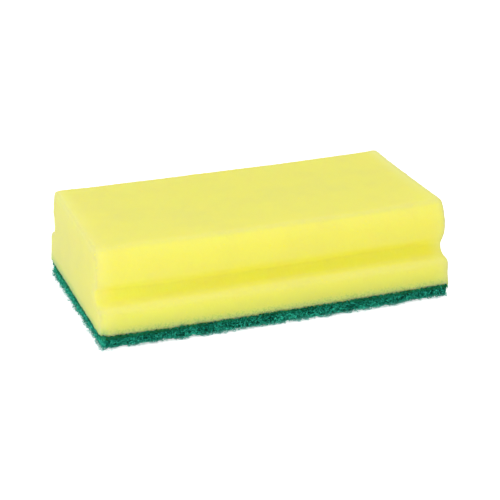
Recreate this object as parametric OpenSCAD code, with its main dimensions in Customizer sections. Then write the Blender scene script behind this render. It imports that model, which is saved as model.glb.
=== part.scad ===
// Finger-grip sponge scourer: a foam block with a scouring pad bonded under it.
// X runs along the finger grooves, Y across the sponge, Z up from the underside of the pad.

/* [Block] */
// Length of the foam block along the finger grooves
length = 150; // [80:1:220]
// Width of the foam block across its base
width = 82; // [60:1:130]
// Height of the whole sponge with its pad
height = 40; // [38:0.5:60]

/* [Scouring pad] */
// Thickness of the scouring pad
pad_t = 6; // [3:0.5:8]
// How far the pad stands out past the foam on every side
pad_overhang = 0.5; // [0:0.1:1.5]

/* [Lower band] */
// Height of the straight lower band of foam in front, below the groove
band_h = 11; // [8:0.5:13]
// Radius that softens the top edge of the lower band
band_r = 2.5; // [0.5:0.1:3]

/* [Finger grooves] */
// How deep the front groove's sharp root lies behind the lower band
root_in = 10.5; // [8:0.5:13]
// How deep the back groove's sharp root lies behind the lower band
back_root_in = 7.5; // [6:0.5:13]
// Rise of each groove's floor from the lower band's edge to its root
root_rise = 0.8; // [-1:0.1:2]
// Radius of each groove's root, where the fingertips rest
root_r = 3; // [2:0.1:4]
// How much higher the back groove, its band and its crest lie than the front ones
back_rise = 2.5; // [0:0.1:3]

/* [Upper body] */
// How far the front crest of the upper body lies behind the lower band
crest_in = 1.9; // [1:0.1:4]
// How far the back crest of the upper body lies behind the lower band
back_crest_in = 2.5; // [1:0.1:4]
// Height of the front crest above the underside of the foam
crest_h = 24; // [21:0.5:25]
// Radius of the rolled upper body over each crest
crest_r = 11.5; // [5:0.5:12]
// How far the top face is set in behind the lower band in front
top_in = 8.7; // [6:0.1:10]
// How far the top face is set in behind the lower band at the back
back_top_in = 5.2; // [4:0.1:10]
// Radius of the two long top edges
top_r = 2.4; // [0.3:0.1:3]

/* [Hidden] */
// Largest angle between two neighbouring points of an arc
ARC_STEP = 6;
// Most of an edge that the arcs at its two ends may take up together
EDGE_SHARE = 0.98;
foam_h = height - pad_t;

// One long side from the base to the top, each row [in from the base's edge, up, corner radius]
function side(rise, root, crest, top) = [
    [0, 0, 0],
    [0, band_h + rise, band_r],
    [root, band_h + rise + root_rise, root_r],
    [crest, crest_h + rise, crest_r],
    [top, foam_h, top_r],
];
FRONT = side(0, root_in, crest_in, top_in);
BACK = side(back_rise, back_root_in, back_crest_in, back_top_in);

// The corners of the whole section: the back going up, and the front coming down
CORNERS = concat(
    [for (c = BACK) [width / 2 - c[0], c[1], c[2]]],
    [for (i = [len(FRONT) - 1:-1:0]) [FRONT[i][0] - width / 2, FRONT[i][1], FRONT[i][2]]]
);

function toward(from, to) = (to - from) / norm(to - from);
function half_angle(before, corner, after) = acos(toward(corner, before) * toward(corner, after)) / 2;

// The arc of radius r that touches both edges of a corner, or the bare corner where r is 0
function arc(before, corner, after, r) =
    r == 0 ? [corner] :
    let (
        half = half_angle(before, corner, after),
        centre = corner + toward([0, 0], toward(corner, before) + toward(corner, after)) * r / sin(half),
        start = corner + toward(corner, before) * r / tan(half) - centre,
        turn = sign(cross(corner - before, after - corner)) * (180 - 2 * half),
        steps = ceil(abs(turn) / ARC_STEP)
    )
    [for (i = [0:steps])
        let (angle = atan2(start[1], start[0]) + turn * i / steps)
        centre + r * [cos(angle), sin(angle)]];

// Outline through a ring of corners, each [across, up, radius]. Where two arcs would run into each
// other along an edge, both shrink until they share it.
function rounded(corners) =
    let (
        n = len(corners),
        p = [for (c = corners) [c[0], c[1]]],
        next = [for (i = [0:n - 1]) (i + 1) % n],
        last = [for (i = [0:n - 1]) (i + n - 1) % n],
        reach = [for (i = [0:n - 1]) corners[i][2] / tan(half_angle(p[last[i]], p[i], p[next[i]]))],
        share = [for (i = [0:n - 1])
            let (edge = norm(p[next[i]] - p[i]), wanted = reach[i] + reach[next[i]])
            wanted > EDGE_SHARE * edge ? EDGE_SHARE * edge / wanted : 1]
    )
    [for (i = [0:n - 1])
        each arc(p[last[i]], p[i], p[next[i]], corners[i][2] * min(share[last[i]], share[i]))];

module foam_block() {
    color("#f5eb62")
        translate([0, 0, pad_t])
            rotate([90, 0, 90])
                linear_extrude(length, center = true) polygon(rounded(CORNERS));
}

module scouring_pad() {
    pad_l = length + 2 * pad_overhang;
    pad_w = width + 2 * pad_overhang;
    color("#0a6e55")
        translate([-pad_l / 2, -pad_w / 2, 0]) cube([pad_l, pad_w, pad_t]);
}

foam_block();
scouring_pad();
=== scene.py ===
"""A finger-grip cleaning sponge: a yellow foam block on a dark green scouring pad."""
import math

import bmesh
import bpy
import numpy
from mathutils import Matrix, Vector, noise


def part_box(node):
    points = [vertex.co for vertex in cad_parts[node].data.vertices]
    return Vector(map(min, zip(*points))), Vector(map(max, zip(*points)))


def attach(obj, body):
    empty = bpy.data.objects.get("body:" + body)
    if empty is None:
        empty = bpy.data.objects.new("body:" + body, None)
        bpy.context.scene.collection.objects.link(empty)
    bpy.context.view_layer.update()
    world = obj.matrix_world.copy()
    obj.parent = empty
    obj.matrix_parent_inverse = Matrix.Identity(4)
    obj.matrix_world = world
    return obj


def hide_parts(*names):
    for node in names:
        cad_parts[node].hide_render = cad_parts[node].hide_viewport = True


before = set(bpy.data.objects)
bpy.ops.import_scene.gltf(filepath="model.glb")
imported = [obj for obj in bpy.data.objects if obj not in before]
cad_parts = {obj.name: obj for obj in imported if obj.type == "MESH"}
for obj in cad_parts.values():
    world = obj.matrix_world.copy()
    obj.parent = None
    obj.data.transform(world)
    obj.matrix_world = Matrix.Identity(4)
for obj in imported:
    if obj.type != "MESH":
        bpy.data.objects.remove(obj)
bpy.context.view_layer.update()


# ---- Foam block --------------------------------------------------------------------------------
# One piece of yellow open-cell polyurethane foam, contour-cut from a big block with a hot wire, so
# its faces are cut cells, its edges are soft and a little ragged, and light sinks some way into it.
# It is bonded to the pad by its whole underside, where its rim is torn and hangs over a little.

MM = 0.001
foam_low, foam_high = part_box("foam_block")
VOXEL = 0.58 * MM
SWELL = 0.25 * MM
SAG = 0.5 * MM

# How many rounds of smoothing leave the bare cut, its soft edges, and only its general trend.
BARE_CUT = 5
SOFT_EDGES = 25
TREND = 120


def coordinates(mesh):
    flat = numpy.empty(3 * len(mesh.vertices))
    mesh.vertices.foreach_get("co", flat)
    return flat.reshape(-1, 3)


def after(mesh, kind, **settings):
    """A copy of a mesh that has been through one modifier."""
    holder = bpy.data.objects.new(kind, mesh)
    bpy.context.scene.collection.objects.link(holder)
    modifier = holder.modifiers.new(kind, kind)
    for name, value in settings.items():
        setattr(modifier, name, value)
    done = bpy.data.meshes.new_from_object(holder.evaluated_get(bpy.context.evaluated_depsgraph_get()))
    bpy.data.objects.remove(holder)
    return done


def even_skin(node, voxel):
    """A copy of a CAD node's shape as one closed skin of even squares."""
    shell = bmesh.new()
    shell.from_mesh(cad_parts[node].data)
    bmesh.ops.remove_doubles(shell, verts=shell.verts, dist=0.001 * MM)
    mesh = bpy.data.meshes.new(node + "_skin")
    shell.to_mesh(mesh)
    shell.free()
    return after(mesh, "REMESH", mode="VOXEL", voxel_size=voxel)


def smoothed(mesh, rounds):
    return after(mesh, "SMOOTH", factor=0.5, iterations=rounds)


def close_flat(skin, low, high, level, facing, margin):
    """Swaps the hidden flat face at a height for a single polygon, which saves its squares."""
    hidden = []
    for face in skin.faces:
        middle = face.calc_center_median()
        inside = all(low[k] + margin < middle[k] < high[k] - margin for k in (0, 1))
        if inside and face.normal.z * facing > 0.9 and abs(middle.z - level) < VOXEL:
            hidden.append(face)
    bmesh.ops.delete(skin, geom=hidden, context="FACES")
    rim = [edge for edge in skin.edges if edge.is_boundary]
    bmesh.ops.contextual_create(skin, geom=rim)


def ease(values, low, high):
    """0 up to low, 1 from high, and smooth between."""
    t = numpy.clip((values - low) / (high - low), 0, 1)
    return t * t * (3 - 2 * t)


def above_bond(heights, low, high):
    """Eases in from one height in mm above the bond line to another."""
    return ease(heights, foam_low.z + low * MM, foam_low.z + high * MM)


def waves(points, size, seed):
    """Smooth noise from -1 to 1 that changes over about the given size."""
    shift = Vector((seed, 2.3 * seed, -1.7 * seed))
    return numpy.array([noise.noise(Vector(p) + shift) for p in points / size])


def mark(mesh, name, values):
    """Keeps one value per point on a mesh, for its material to read."""
    mesh.attributes.new(name, "FLOAT", "POINT").data.foreach_set("value", values)


# Each point's edge value says by how many mm it stands out from the trend: above 0 on an edge and
# below 0 in the groove. The edges above the bond take on the rounder shape.
block = even_skin("foam_block", VOXEL)
cut = smoothed(block, BARE_CUT)
points = coordinates(cut)
normals = numpy.array([v.normal for v in cut.vertices])
edge = ((points - coordinates(smoothed(block, TREND))) * normals).sum(axis=1) / MM
rounded = coordinates(smoothed(block, SOFT_EDGES))
softness = ease(edge, 0.3, 0.9) * above_bond(points[:, 2], 1.5, 5)
points += (rounded - points) * softness[:, None]

# All the shaping below is placed by x, y and z, which stay as they are here while the points move.
x, y, z = points.T
span_x = 2 * x / (foam_high.x - foam_low.x)
rise = (z - foam_low.z) / (foam_high.z - foam_low.z)
mid_length = 1 - span_x ** 2
free = above_bond(z, 0.3, 2.5)
on_edge = numpy.clip(edge, 0, 1)

# The foam swells past its cut by more or less from cell to cell, and its top sags at mid-length.
grain = numpy.zeros(len(points))
for depth, size, seed, share in (
        (0.06, 1.3 * MM, 5, 1),
        (0.10, 3.5 * MM, 9, 0.3 + on_edge),
        (0.12, 1.7 * MM, 14, on_edge),
        (0.25, 22 * MM, 21, 1)):
    grain += depth * waves(points, size, seed) * share
grain *= free
points = points + normals * (grain * MM + SWELL * free)[:, None]
points[:, 2] -= SAG * mid_length * ease(rise, 0.1, 1)

# How far in mm the torn rim hangs down over the pad: most at mid-length and least at the left end.
droop = 0.7 + 0.7 * mid_length + 0.25 * waves(points, 9 * MM, 27) + 0.3 * waves(points, 1.3 * MM, 29)
droop -= 1.1 * ease(-span_x, 0.92, 1)

# The right end is drawn out, most at its foot, and its top turns up, most at the front.
points[:, 0] += (0.6 - 0.35 * rise) * MM * ease(span_x, 0.5, 1)
front = ease(-y, -5 * MM, 35 * MM)
points[:, 2] += 0.65 * MM * ease(span_x, 0.6, 1) * front * ease(rise, 0.75, 1)
points[:, 2] += 0.25 * MM * ease(span_x, 0.9, 1) * ease(rise, 0.85, 1)

# The front groove's root has crept up by half a millimetre and more, but not at the right end.
groove = ease(y, foam_low.y + 3 * MM, foam_low.y + 9 * MM) * (1 - ease(y, -30 * MM, -8 * MM))
groove *= ease(z, 13 * MM, 18 * MM) * (1 - ease(z, 22 * MM, 29 * MM))
climb = 0.5 + 0.8 * ease(-span_x, 0.55, 0.95) + 0.4 * ease(span_x, 0.2, 0.6) - 0.9 * ease(span_x, 0.8, 1)
points[:, 2] += groove * MM * climb

# The rim is torn from point to point and splays out. The hidden middle of the underside stays flat.
torn = numpy.random.default_rng(3).uniform(-1, 1, len(points))
droop += 0.75 * torn * (1 - above_bond(z, 0, 1.2))
inside = numpy.minimum(foam_high.x - numpy.abs(x), foam_high.y - numpy.abs(y))
droop *= 1 - ease(inside, 1 * MM, 2.5 * MM)
points[:, 2] -= droop * MM * (1 - above_bond(z, 0, 3))
rim = 1 - above_bond(z, 0.3, 2.2)
points[:, :2] += normals[:, :2] * 0.4 * MM * rim[:, None]

# The left end stands out at its foot and leans in towards its top, at the rear corner most.
rearward = ease(y, foam_low.y, foam_high.y)
risen = numpy.clip(rise, 0, 1)
front_lean = -1.15 - 0.3 * numpy.sin(math.pi * risen) + 0.9 * risen ** 2.5
rear_lean = -0.5 + 1.6 * rise
points[:, 0] += (front_lean * (1 - rearward) + rear_lean * rearward) * MM * ease(-span_x, 0.4, 1)
cut.vertices.foreach_set("co", points.ravel())

# For the colour: hollow is high in the groove and where the foam faces down, and marks painted
# shade there; turned is high on the front next to its left corner, and marks painted light there.
off_left = ease(x - foam_low.x, 0.5 * MM, 9 * MM)
off_right = ease(foam_high.x - x, -1 * MM, 7 * MM)
hollow = 0.66 * ease(-edge, 0, 0.55) + 0.68 * ease(-normals[:, 2], 0.15, 0.8) * above_bond(z, 0, 8)
mark(cut, "edge", edge)
mark(cut, "hollow", numpy.minimum(hollow, 1) * off_right * off_left)
mark(cut, "turned", ease(-normals[:, 1], 0.2, 0.8) * (1 - off_left))

foam_skin = bmesh.new()
foam_skin.from_mesh(cut)
foam_skin.normal_update()
close_flat(foam_skin, foam_low, foam_high, foam_low.z, -1, 3 * MM)
foam_mesh = bpy.data.meshes.new("foam")
foam_skin.to_mesh(foam_mesh)
foam_skin.free()


class Wire:
    """A value on its way through a material. Sums on it add Math nodes, and add() adds any other."""

    def __init__(self, tree, socket=None):
        self.tree = tree
        self.socket = socket

    def add(self, kind, settings=None, sockets=None, out=0):
        node = self.tree.nodes.new("ShaderNode" + kind)
        for name, value in (settings or {}).items():
            setattr(node, name, value)
        for name, value in (sockets or {}).items():
            if isinstance(value, Wire):
                self.tree.links.new(value.socket, node.inputs[name])
            else:
                node.inputs[name].default_value = value
        return Wire(self.tree, node.outputs[out])

    def sum(self, operation, *values):
        return self.add("Math", {"operation": operation}, dict(enumerate(values)))

    def __add__(self, other):
        return self.sum("ADD", self, other)

    def __sub__(self, other):
        return self.sum("SUBTRACT", self, other)

    def __rsub__(self, other):
        return self.sum("SUBTRACT", other, self)

    def __mul__(self, other):
        return self.sum("MULTIPLY", self, other)

    __radd__ = __add__
    __rmul__ = __mul__

    def __abs__(self):
        return self.sum("ABSOLUTE", self)

    def span(self, low, high):
        """0 below low, 1 above high, and smooth between."""
        return self.add("MapRange", {"interpolation_type": "SMOOTHSTEP"},
                        {"Value": self, "From Min": low, "From Max": high})

    def blend(self, first, second):
        """Colour first where self is 0 and second where it is 1."""
        return self.add("Mix", {"data_type": "RGBA"}, {"Factor": self, 6: first, 7: second}, out=2)

    def tint(self, colour, stain):
        """Colour, multiplied by stain as far as self goes."""
        return self.add("Mix", {"data_type": "RGBA", "blend_type": "MULTIPLY"},
                        {"Factor": self, 6: colour, 7: stain}, out=2)

    def directions(self):
        """The three parts of a vector: along the sponge, across it and up it."""
        return [self.add("SeparateXYZ", {}, {"Vector": self}, out=k) for k in range(3)]

    def cells(self, size, out=0):
        """Cells of about a size: output 0 is the distance to their middles and 1 is a colour for each."""
        return self.add("TexVoronoi", {}, {"Vector": self, "Scale": 1 / size}, out=out)

    def specks(self, size):
        """One number at random from 0 to 1 for each cell of about a size."""
        return self.add("SeparateColor", {}, {"Color": self.cells(size, out=1)})

    def clouds(self, size, detail, **more):
        """Soft noise that changes over about a size."""
        return self.add("TexNoise", {}, {"Vector": self, "Scale": 1 / size, "Detail": detail, **more})

    def marked(self, name):
        """The values that mark() kept on the mesh under a name."""
        return self.add("Attribute", {"attribute_name": name}, out=2)


def finish(name, **constants):
    """A new material, its shader with constants on its sockets, and a wire to start its nodes from."""
    material = bpy.data.materials.new(name)
    material.use_nodes = True
    shader = material.node_tree.nodes["Principled BSDF"]
    for socket, value in constants.items():
        shader.inputs[socket.replace("_", " ")].default_value = value
    return material, shader, Wire(material.node_tree)


def piece(name, mesh, material):
    """An object at the origin that shows a mesh, smooth and in one material."""
    mesh.shade_smooth()
    mesh.materials.clear()
    mesh.materials.append(material)
    shown = bpy.data.objects.new(name, mesh)
    bpy.context.scene.collection.objects.link(shown)
    return shown


def cut_foam():
    """Lemon yellow, with painted shade in its hollows and pits, painted light on its edges, and painted
    green light and shade from the web next to it.
    """
    deep_shade = (0.975, 0.895, 0.052, 1)
    deep_shade_at_left = (1.0, 0.955, 0.10, 1)
    plain = (0.91, 0.857, 0.162, 1)
    plain_at_left = (0.915, 0.865, 0.175, 1)
    pale = (0.60, 0.565, 0.27, 1)
    at_ends = (0.90, 0.865, 0.25, 1)
    shoulder_glow = (0.905, 0.865, 0.27, 1)
    near_edge_glow = (0.85, 0.81, 0.285, 1)
    web_shade = (0.875, 0.965, 1.03, 1)
    web_light_at_bond = (0.90, 1.07, 1.0, 1)
    dark_rim = (0.52, 0.90, 0.90, 1)
    green_cell = (0.38, 0.66, 0.12, 1)
    lit_cell = (0.88, 0.98, 0.22, 1)
    pore = 0.5 * MM
    stained_cell = 0.6 * MM
    cell = 0.8 * MM
    pit = 3.2 * MM
    patch = 16 * MM

    material, shader, wire = finish(
        "cut_foam", Roughness=1.0, Specular_IOR_Level=0.0, Subsurface_Weight=1.0,
        Subsurface_Radius=(1.0, 0.85, 0.3), Subsurface_Scale=9.0 * MM, Subsurface_Anisotropy=0.0)
    place = wire.add("TexCoord", out=3)
    along, across, height = place.directions()
    edge = place.marked("edge")
    hollow = place.marked("hollow")
    turned = place.marked("turned")
    cells = place.cells(cell)

    # The plain faces and the hollows in their painted shade, both lighter towards the left end as painted
    # light from that end.
    off_left = along.span(foam_low.x + 5 * MM, foam_low.x + 70 * MM)
    colour = hollow.blend(off_left.blend(plain_at_left, plain), off_left.blend(deep_shade_at_left, deep_shade))

    # Painted light: every edge, the rounded shoulder along the front and the front by the left corner are
    # paler, as light shining through the foam there. The two cut ends are paler, partly as cut faces and
    # partly as painted light through them. Soft patches are paler at random.
    ends = abs(along).span(foam_high.x - 8 * MM, foam_high.x - 0.3 * MM)
    end_share = across.span(foam_low.y, foam_high.y) * 0.55 + 0.3 + along.span(0.0, foam_high.x) * 0.35
    colour = (ends * end_share).blend(colour, at_ends)
    shoulder = height.span(foam_high.z - 7 * MM, foam_high.z - 2 * MM)
    shoulder = shoulder * (1 - across.span(foam_low.y + 7.5 * MM, foam_low.y + 11 * MM))
    colour = (turned * 0.5 + shoulder * 0.25).blend(colour, shoulder_glow)
    top_left = height.span(foam_high.z - 3 * MM, foam_high.z - 0.5 * MM) * (1 - off_left)
    colour = (edge.span(0.05, 0.5) * (0.3 - top_left * 0.15)).blend(colour, near_edge_glow)
    edge_glow = edge.span(0.1, 1.4) * (0.62 - top_left * 0.22)
    patches = place.clouds(patch, 3.0).span(0.4, 0.7) * 0.08
    colour = (edge_glow + shoulder * edge.span(0.15, 0.5) * 0.08 + patches).blend(colour, pale)

    # Painted shade: the cells' middles and the few larger pits take the deep shaded colour.
    colour = (cells.span(0.35, 0.8) * 0.12).blend(colour, deep_shade)
    colour = ((1 - place.cells(pit).span(0.06, 0.16)) * 0.35).blend(colour, deep_shade)

    # Painted shade and painted green light from the web on the lower band: a wide green shade, a brighter
    # green at the bond, a darker, greener left rim, and odd green and pale cells at random.
    low = 1 - height.span(foam_low.z, foam_low.z + 13 * MM)
    colour = (low * 0.8).tint(colour, web_shade)
    seam = 1 - height.span(foam_low.z - 0.5 * MM, foam_low.z + 3 * MM)
    colour = seam.tint(colour, web_light_at_bond)
    left_rim = 1 - height.span(foam_low.z, foam_low.z + 5 * MM)
    left_rim = left_rim * (1 - along.span(foam_low.x, foam_low.x + 3 * MM))
    colour = (left_rim * 0.8).tint(colour, dark_rim)
    specks = place.specks(stained_cell)
    near_web = 1 - height.span(foam_low.z - 1.5 * MM, foam_low.z + 4.0 * MM)
    colour = (specks.span(0.7, 0.75) * near_web * 0.7).blend(colour, green_cell)
    colour = ((1 - specks.span(0.15, 0.2)) * near_web * 0.6).blend(colour, lit_cell)

    relief = cells.span(0.05, 0.6) + place.clouds(pore, 2.0) * 0.5
    bump = place.add("Bump", {}, {"Strength": 0.2, "Distance": 0.2 * MM, "Height": relief})
    place.tree.links.new(colour.socket, shader.inputs["Base Color"])
    place.tree.links.new(bump.socket, shader.inputs["Normal"])
    return material


foam = piece("foam", foam_mesh, cut_foam())
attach(foam, "root")
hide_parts("foam_block")


# ---- Scouring pad ------------------------------------------------------------------------------
# A springy mat of coarse crimped fibres, laid at random, sprayed with resin and grit, and bonded to
# the foam. This is its heart, a lumpy tangle, dark as painted shade, that the loose outer fibres half
# cover.

web_low, web_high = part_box("scouring_pad")
WEB_VOXEL = 0.75 * MM
WEB_FLOOR = 0.3 * MM
WEB_TOP = web_high.z - 0.5 * MM
LOWEST = 0.05 * MM
HEART_INSET = 0.45 * MM
UNDERCUT = 0.5 * MM
LUMP = 0.25 * MM
# The heart's colours are darker than the fibres', as painted shade inside the web.
WEB_GAP = (0.0005, 0.035, 0.021, 1)
WEB_BODY = (0.002, 0.16, 0.10, 1)
WEB_LIT = (0.015, 0.55, 0.38, 1)
web_middle = (web_low + web_high) / 2
half = (web_high - web_low) / 2


def ragged(points):
    """The pad's edges as they fray: splayed out and pressed down at mid-length, curled up at the ends."""
    points = points.copy()
    x, y, z = points.T.copy()
    plan = points * (1, 1, 0)
    inside = numpy.minimum(half.x - numpy.abs(x), half.y - numpy.abs(y))
    outer = (1 - ease(inside, -1 * MM, 5 * MM)) * (1 - ease(z, 0, web_high.z))
    end = ease(numpy.abs(x) / half.x, 0.5, 0.95)
    tip = 1 - ease(half.x - numpy.abs(x), 0, 4 * MM)
    rear_tip = ease(numpy.abs(x), half.x - 6 * MM, half.x) * ease(y, half.y - 10 * MM, half.y)
    worn = ease(x, half.x - 25 * MM, half.x) * (0.5 + 0.5 * outer)

    # Lift, splay and stretch are in mm. The crown is the share of its height that the pad keeps.
    lift = 0.25 + 0.4 * end + 0.95 * waves(plan, 5 * MM, 31) + 0.5 * waves(plan, 2.2 * MM, 37)
    splay = 1.5 * (1 - end) + 0.6 * waves(plan, 4 * MM, 41)
    stretch = 0.2 * tip * outer - 1.0 * rear_tip
    crown = 0.17 * waves(plan, 1.0 * MM, 53) * (1 - ease(inside, 2 * MM, 4 * MM))
    crown += 1 - 0.09 * (1 - (x / half.x) ** 2) ** 2

    points[:, 0] += numpy.sign(x) * stretch * MM - 1.1 * MM * worn
    points[:, 1] += numpy.sign(y) * splay * MM * outer
    stray = numpy.maximum(numpy.abs(points[:, 1]) - half.y - 1.5 * MM, 0)
    points[:, 1] -= numpy.sign(points[:, 1]) * 0.65 * stray
    points[:, 2] = z * crown + lift * MM * outer * (1 - 0.5 * tip)
    return points


# The heart stands back from the edges, further at its foot, and is lumpy all over but its bonded top.
web_skin = bmesh.new()
web_skin.from_mesh(even_skin("scouring_pad", WEB_VOXEL))
for v in web_skin.verts:
    away = v.co - web_middle
    v.co.z = max(v.co.z, WEB_FLOOR)
    lower = 1 - min(max((v.co.z - WEB_FLOOR) / (1.8 * MM), 0), 1)
    inset = HEART_INSET + lower ** 1.5 * UNDERCUT
    for k in (0, 1):
        v.co[k] = web_middle[k] + away[k] * (half[k] - inset) / half[k]
    v.co.z = min(v.co.z, WEB_TOP)
web_skin.normal_update()
for v in web_skin.verts:
    if v.co.z < WEB_TOP - 0.1 * MM:
        lump = noise.noise(v.co / (1.3 * MM)) + 0.8 * noise.noise(v.co / (0.75 * MM))
        v.co += v.normal * lump * LUMP
web_skin.normal_update()
close_flat(web_skin, web_low, web_high, WEB_TOP, 1, 4 * MM)
web_mesh = bpy.data.meshes.new("web_heart")
web_skin.to_mesh(web_mesh)
web_skin.free()
frayed_heart = ragged(coordinates(web_mesh))
frayed_heart[:, 2] = numpy.maximum(frayed_heart[:, 2], LOWEST)
web_mesh.vertices.foreach_set("co", frayed_heart.ravel())


def fibre_web(name, gap, body, lit, bump_depth):
    """The web's colours, from the dark gaps to the fibres that catch the light."""
    bond_shade = (0.03, 0.30, 0.06, 1)
    floor_lit_fringe = (0.22, 0.66, 0.59, 1)
    speck = 0.4 * MM
    strand = 0.5 * MM
    grit = 0.6 * MM
    clump = 4.0 * MM

    material, shader, wire = finish(name, Specular_IOR_Level=0.05, Roughness=0.8)
    place = wire.add("TexCoord", out=3)
    along, across, height = place.directions()

    # The shade runs from the gaps at 0 to the lit fibres at 1. It is raised at the pad's two ends as
    # painted light, and lowered under the foam's rim as painted shade, less so at the ends.
    ends = abs(along).span(web_high.x - 1.6 * MM, web_high.x - 0.6 * MM)
    shade = place.specks(speck) * 0.65 + place.marked("tone") * 0.25
    shade = shade + place.clouds(grit, 1.0).span(0.4, 0.6) * 0.12
    shade = shade + place.clouds(clump, 1.0).span(0.35, 0.65) * 0.08 + ends * 0.08
    shade = shade - height.span(3.6 * MM, 5.2 * MM) * (1 - ends * 0.6) * 0.14
    colour = shade.span(0.12, 0.5).blend(gap, body)
    colour = shade.span(0.45, 0.9).blend(colour, lit)
    colour = (height.span(4.0 * MM, 5.4 * MM) * 0.5).blend(colour, bond_shade)

    # Painted light: the frayed bottom edge has paler tips all round, as light bounced up from the white
    # floor.
    outer_x = abs(along).span(web_high.x - 2.5 * MM, web_high.x - 0.5 * MM)
    outer_y = abs(across).span(web_high.y - 2.5 * MM, web_high.y - 0.5 * MM)
    frayed = place.sum("MAXIMUM", outer_x, outer_y) * (1 - height.span(0.3 * MM, 1.9 * MM))
    colour = (frayed * (shade * 0.5 + 0.6)).blend(colour, floor_lit_fringe)
    if bump_depth:
        strands = place.clouds(strand, 2.0, Distortion=1.5)
        bump = place.add("Bump", {}, {"Strength": 0.8, "Distance": bump_depth, "Height": strands})
        place.tree.links.new(bump.socket, shader.inputs["Normal"])
        # Painted shade: the gap colour shows where the bumped strands are low.
        colour = strands.span(0.45, 0.7).blend(gap, colour)
    place.tree.links.new(colour.socket, shader.inputs["Base Color"])
    return material


web = piece("web_heart", web_mesh, fibre_web("web_heart", WEB_GAP, WEB_BODY, WEB_LIT, 0.4 * MM))
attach(web, "root")
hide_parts("scouring_pad")


# ---- Edge fibres -------------------------------------------------------------------------------
# Nylon fibres about a fifth of a millimetre thick, crimped, bonded where they cross, and cut through
# with the pad, so that their ends show on its four edges. Two bundles keep each piece light enough.

FIBRE = 0.2 * MM
SIDES = 3
TIP_THICKNESS = 0.6
GOLDEN = 0.618034
FIBRE_FLOOR = 0.15 * MM
LOWEST_END = 0.2 * MM
EDGE_FIBRES = 5700
FIBRE_GAP = (0.0005, 0.045, 0.027, 1)
FIBRE_BODY = (0.005, 0.36, 0.23, 1)
FIBRE_LIT = (0.09, 0.95, 0.68, 1)
fibre_look = fibre_web("fibre", FIBRE_GAP, FIBRE_BODY, FIBRE_LIT, 0)
outer_low = numpy.array(web_low) + (0, 0, FIBRE_FLOOR)
outer_high = numpy.array(web_high) - (0, 0, 0.3 * MM)
rng = numpy.random.default_rng(11)


def unit(vectors):
    return vectors / numpy.linalg.norm(vectors, axis=1, keepdims=True)


def every_way(count, upright, lean=0):
    """Random headings. Upright says how steep they may be, and lean is added to each."""
    return unit(rng.normal(0, 1, (count, 3)) * (1, 1, upright) + lean)


def crimped(starts, headings, steps, step, crimp):
    """Paths that wander from each start, as an array of count x (steps + 1) x 3."""
    points = [starts]
    bend = rng.normal(0, crimp, starts.shape)
    for _ in range(steps):
        bend = 0.6 * bend + rng.normal(0, crimp, starts.shape)
        headings = unit(headings + bend)
        points.append(points[-1] + headings * step)
    return numpy.stack(points, axis=1)


def held_in(paths, low, high, spring):
    """Folds back what strays past the pad's faces, so no rope of fibres gathers along them."""
    over = numpy.maximum(paths - high, 0)
    under = numpy.maximum(low - paths, 0)
    return paths - over * (2 - spring) + under * (2 - spring)


def frayed(paths):
    return ragged(paths.reshape(-1, 3)).reshape(paths.shape)


def round_the_edge(count, depth):
    """Points spread evenly round the pad's four edges, each a depth inside, and each one's way out."""
    length, width = 2 * half.x, 2 * half.y
    s = rng.permutation(count) + rng.uniform(0, 1, count)
    s *= 2 * (length + width) / count
    starts = numpy.zeros((count, 3))
    outward = numpy.zeros((count, 3))
    begin = 0
    for size, axis, sign in ((length, 1, -1), (width, 0, 1), (length, 1, 1), (width, 0, -1)):
        here = (s >= begin) & (s < begin + size)
        starts[here, 1 - axis] = (s[here] - begin) - size / 2
        starts[here, axis] = sign * (half[axis] - depth[here])
        outward[here, axis] = sign
        begin += size
    return starts, outward


def even_heights(starts):
    """Heights from 0 to 1 that fill the edge evenly: neighbours along it take golden-ratio steps."""
    order = numpy.argsort(numpy.arctan2(starts[:, 1] / half.y, starts[:, 0] / half.x))
    heights = numpy.empty(len(starts))
    heights[order] = (numpy.arange(len(starts)) * GOLDEN + rng.uniform(0, 0.05, len(starts))) % 1
    return heights


def fibres(name, paths, thickness, tones):
    """A piece made of three-sided tubes that follow the paths and thin out at their tips."""
    profile = bpy.data.curves.new("cross_section", "CURVE")
    outline = profile.splines.new("POLY")
    outline.points.add(SIDES - 1)
    for k in range(SIDES):
        turn = k * math.tau / SIDES
        outline.points[k].co = (math.cos(turn) / 2, math.sin(turn) / 2, 0, 1)
    outline.use_cyclic_u = True
    stencil = bpy.data.objects.new("cross_section", profile)
    curve = bpy.data.curves.new(name, "CURVE")
    curve.dimensions = "3D"
    curve.bevel_mode = "OBJECT"
    curve.bevel_object = stencil
    curve.use_fill_caps = True
    stations = paths.shape[1]
    taper = numpy.ones(stations)
    taper[0] = taper[-1] = TIP_THICKNESS
    flat = numpy.concatenate([paths, numpy.ones((*paths.shape[:2], 1))], axis=2).reshape(len(paths), -1)
    for path, thick in zip(flat, thickness):
        spline = curve.splines.new("POLY")
        spline.points.add(stations - 1)
        spline.points.foreach_set("co", path)
        spline.points.foreach_set("radius", taper * thick)
    wires = bpy.data.objects.new(name + "_wires", curve)
    bpy.context.scene.collection.objects.link(wires)
    mesh = bpy.data.meshes.new_from_object(wires.evaluated_get(bpy.context.evaluated_depsgraph_get()))
    bpy.data.objects.remove(wires)
    bpy.data.objects.remove(stencil)
    mesh.name = name

    # Each fibre has its own tone. The mesh holds all the caps first, from the last fibre to the first.
    caps = numpy.repeat(tones[::-1], 2 * SIDES)
    mark(mesh, "tone", numpy.concatenate([caps, numpy.repeat(tones, SIDES * stations)]))

    # The caps come loose from the tubes, so they are merged, and then all the faces turned outward.
    shell = bmesh.new()
    shell.from_mesh(mesh)
    bmesh.ops.remove_doubles(shell, verts=shell.verts, dist=0.001 * MM)
    bmesh.ops.recalc_face_normals(shell, faces=shell.faces)
    shell.to_mesh(mesh)
    shell.free()
    bundle = piece(name, mesh, fibre_look)
    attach(bundle, "root")


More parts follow.
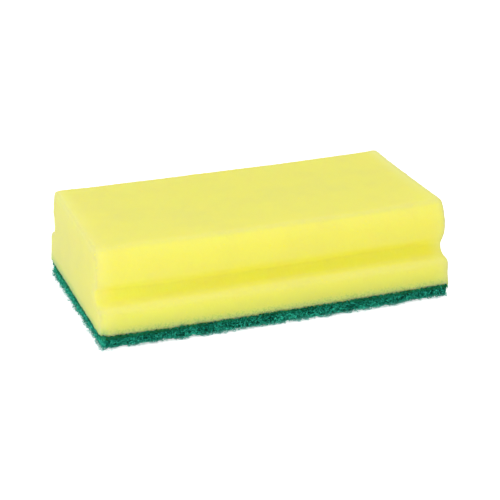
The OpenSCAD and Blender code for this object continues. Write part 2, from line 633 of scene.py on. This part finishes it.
for bundle_no in (1, 2):
    depth = rng.uniform(0.0, 1.0, EDGE_FIBRES) ** 1.5 * 1.6 * MM
    starts, _ = round_the_edge(EDGE_FIBRES, depth)
    starts[:, 2] = LOWEST_END + (web_high.z - LOWEST_END) * even_heights(starts)
    paths = crimped(starts, every_way(EDGE_FIBRES, upright=0.55), steps=5, step=0.75 * MM, crimp=0.35)
    paths = frayed(held_in(paths, outer_low, outer_high, spring=0.3))
    paths[:, :, 2] = FIBRE_FLOOR + numpy.abs(paths[:, :, 2] - FIBRE_FLOOR)
    fibres(f"edge_fibres_{bundle_no}", paths, rng.uniform(0.7, 1.2, EDGE_FIBRES) * FIBRE,
           rng.uniform(0, 1, EDGE_FIBRES))


# ---- Bond fibres -------------------------------------------------------------------------------
# The web's topmost fibres, matted together where the pad is bonded to the foam. Their short loops
# climb the foam's rim here and there, so that the line between the two is ragged.

BOND_FIBRES = 3600
STAND_OUT = 0.45 * MM

starts, _ = round_the_edge(BOND_FIBRES, rng.uniform(-0.4, 0.05, BOND_FIBRES) * MM)
starts[:, 2] = rng.uniform(4.2 * MM, 5.2 * MM, BOND_FIBRES)
paths = crimped(starts, every_way(BOND_FIBRES, upright=1.4), steps=3, step=0.5 * MM, crimp=0.3)
paths = held_in(paths, numpy.array(web_low) - STAND_OUT, numpy.array(web_high) + STAND_OUT, spring=0.2)
ceiling = (5.3 + 2.2 * numpy.clip(waves(starts * (1, 1, 0), 0.9 * MM, 51), 0, 1)) * MM
paths[:, :, 2] = numpy.minimum(paths[:, :, 2], ceiling[:, None])
# Their tones run dark, as painted shade under the foam's rim, and less dark at the pad's two ends, as
# painted light there.
at_ends = numpy.abs(starts[:, 0]) > half.x - 0.5 * MM
fibres("bond_fibres", frayed(paths), rng.uniform(1.0, 1.7, BOND_FIBRES) * FIBRE,
       rng.uniform(-0.9, 0.4, BOND_FIBRES) + 0.4 * at_ends)


# ---- Fringe fibres -----------------------------------------------------------------------------
# Thin fibres that use has pulled out of the pad's bottom edge. They stand out in tufts, with a few
# single ones much further out, and lie on whatever the sponge rests on.

FRINGE_FIBRES = 4000
FRINGE_FLOOR = 0.1 * MM

starts, outward = round_the_edge(FRINGE_FIBRES, rng.uniform(-0.2, 1.0, FRINGE_FIBRES) * MM)
starts[:, 2] = rng.uniform(0.2 * MM, 1.2 * MM, FRINGE_FIBRES)
tufts = 1.5 * numpy.clip(waves(starts * (1, 1, 0), 1.8 * MM, 61), -0.4, 1)
tufts += 0.9 * (rng.uniform(0, 1, FRINGE_FIBRES) > 0.94)
tufts *= 1 - 0.5 * numpy.abs(outward[:, 0])
starts += outward * (tufts * MM)[:, None]
headings = every_way(FRINGE_FIBRES, upright=0.4, lean=outward * 0.7)
paths = frayed(crimped(starts, headings, steps=3, step=0.5 * MM, crimp=0.5))
paths[:, :, 2] = FRINGE_FLOOR + numpy.abs(paths[:, :, 2] - FRINGE_FLOOR)
fibres("fringe_fibres", paths, rng.uniform(0.6, 1.0, FRINGE_FIBRES) * FIBRE,
       rng.uniform(0, 1, FRINGE_FIBRES))


# ---- Underside fibres --------------------------------------------------------------------------
# The long fibres of the scouring face. They lie nearly flat over one another, as the web was laid,
# and are rubbed loose a little, which leaves the heart, dark as painted shade, showing between them.

UNDER_FIBRES = 3600
LAY_HEIGHT = 0.8 * MM
FLATNESS = 0.4

starts = numpy.stack([
    rng.uniform(web_low.x, web_high.x, UNDER_FIBRES),
    rng.uniform(web_low.y, web_high.y, UNDER_FIBRES),
    rng.uniform(FIBRE_FLOOR, 1.4 * MM, UNDER_FIBRES)], axis=1)
paths = crimped(starts, every_way(UNDER_FIBRES, upright=0.15), steps=7, step=1.8 * MM, crimp=0.3)
paths[:, :, 2] = LAY_HEIGHT + (paths[:, :, 2] - LAY_HEIGHT) * FLATNESS
paths = held_in(paths, outer_low, outer_high, spring=0.15)
paths[:, :, 2] = numpy.maximum(paths[:, :, 2], FIBRE_FLOOR)
fibres("underside_fibres", paths, rng.uniform(0.8, 1.3, UNDER_FIBRES) * FIBRE,
       rng.uniform(0, 1, UNDER_FIBRES))


# ---- Floor, light and camera -------------------------------------------------------------------
# A sheet of white paper under the sponge, a white sky, and three square soft boxes. The paper and
# the sky are brighter to the camera than to the sponge, so that both show white.

PAPER = (0.8, 0.8, 0.8, 1)
PAPER_GLOW = 0.7
SKY = 0.7
SOFT_BOX_SIDE = 0.7
LAMPS_AIM = Vector((0, 0, 0.02))

floor_mesh = bpy.data.meshes.new("floor")
plate = bmesh.new()
bmesh.ops.create_grid(plate, x_segments=1, y_segments=1, size=3)
plate.to_mesh(floor_mesh)
plate.free()
paper, paper_shader, wire = finish(
    "white_paper", Base_Color=PAPER, Roughness=1.0, Specular_IOR_Level=0.0)
glow = wire.add("Emission", {}, {"Strength": wire.add("LightPath") * PAPER_GLOW})
both = wire.add("AddShader", {}, {0: Wire(wire.tree, paper_shader.outputs[0]), 1: glow})
wire.tree.links.new(both.socket, wire.tree.nodes["Material Output"].inputs["Surface"])
floor = piece("floor", floor_mesh, paper)

world = bpy.data.worlds.new("studio")
bpy.context.scene.world = world
world.use_nodes = True
sky = world.node_tree.nodes["Background"]
sky.inputs["Color"].default_value = (1, 1, 1, 1)
to_camera = Wire(world.node_tree).add("LightPath")
world.node_tree.links.new((to_camera * (1 - SKY) + SKY).socket, sky.inputs["Strength"])


def soft_box(name, place, power):
    lamp = bpy.data.lights.new(name, "AREA")
    lamp.shape = "SQUARE"
    lamp.size = SOFT_BOX_SIDE
    lamp.energy = power
    holder = bpy.data.objects.new(name, lamp)
    holder.location = place
    holder.rotation_euler = (LAMPS_AIM - Vector(place)).to_track_quat("-Z", "Y").to_euler()
    bpy.context.scene.collection.objects.link(holder)


soft_box("front_light", (-0.48, -0.83, 0.28), 3.4)
soft_box("top_light", (0.0, 0.1, 1.0), 1.3)
soft_box("left_light", (-1.0, -0.15, 0.35), 0.5)

AZIMUTH, ELEVATION = math.radians(-20.2), math.radians(22.95)
DISTANCE = 0.72
AIM_HEIGHT = 18 * MM
back = Vector((math.sin(AZIMUTH) * math.cos(ELEVATION),
               -math.cos(AZIMUTH) * math.cos(ELEVATION),
               math.sin(ELEVATION)))
right = Vector((math.cos(AZIMUTH), math.sin(AZIMUTH), 0))
up = back.cross(right)
aim = Vector((0, 0, AIM_HEIGHT)) + right * 1.41 * MM - up * 1.96 * MM
lens = bpy.data.cameras.new("camera")
lens.sensor_width = 36
lens.lens = 121.72
camera = bpy.data.objects.new("camera", lens)
camera.location = aim + back * DISTANCE
camera.rotation_euler = back.to_track_quat("Z", "Y").to_euler()
bpy.context.scene.collection.objects.link(camera)
bpy.context.scene.camera = camera
bpy.context.scene.view_settings.view_transform = "Standard"
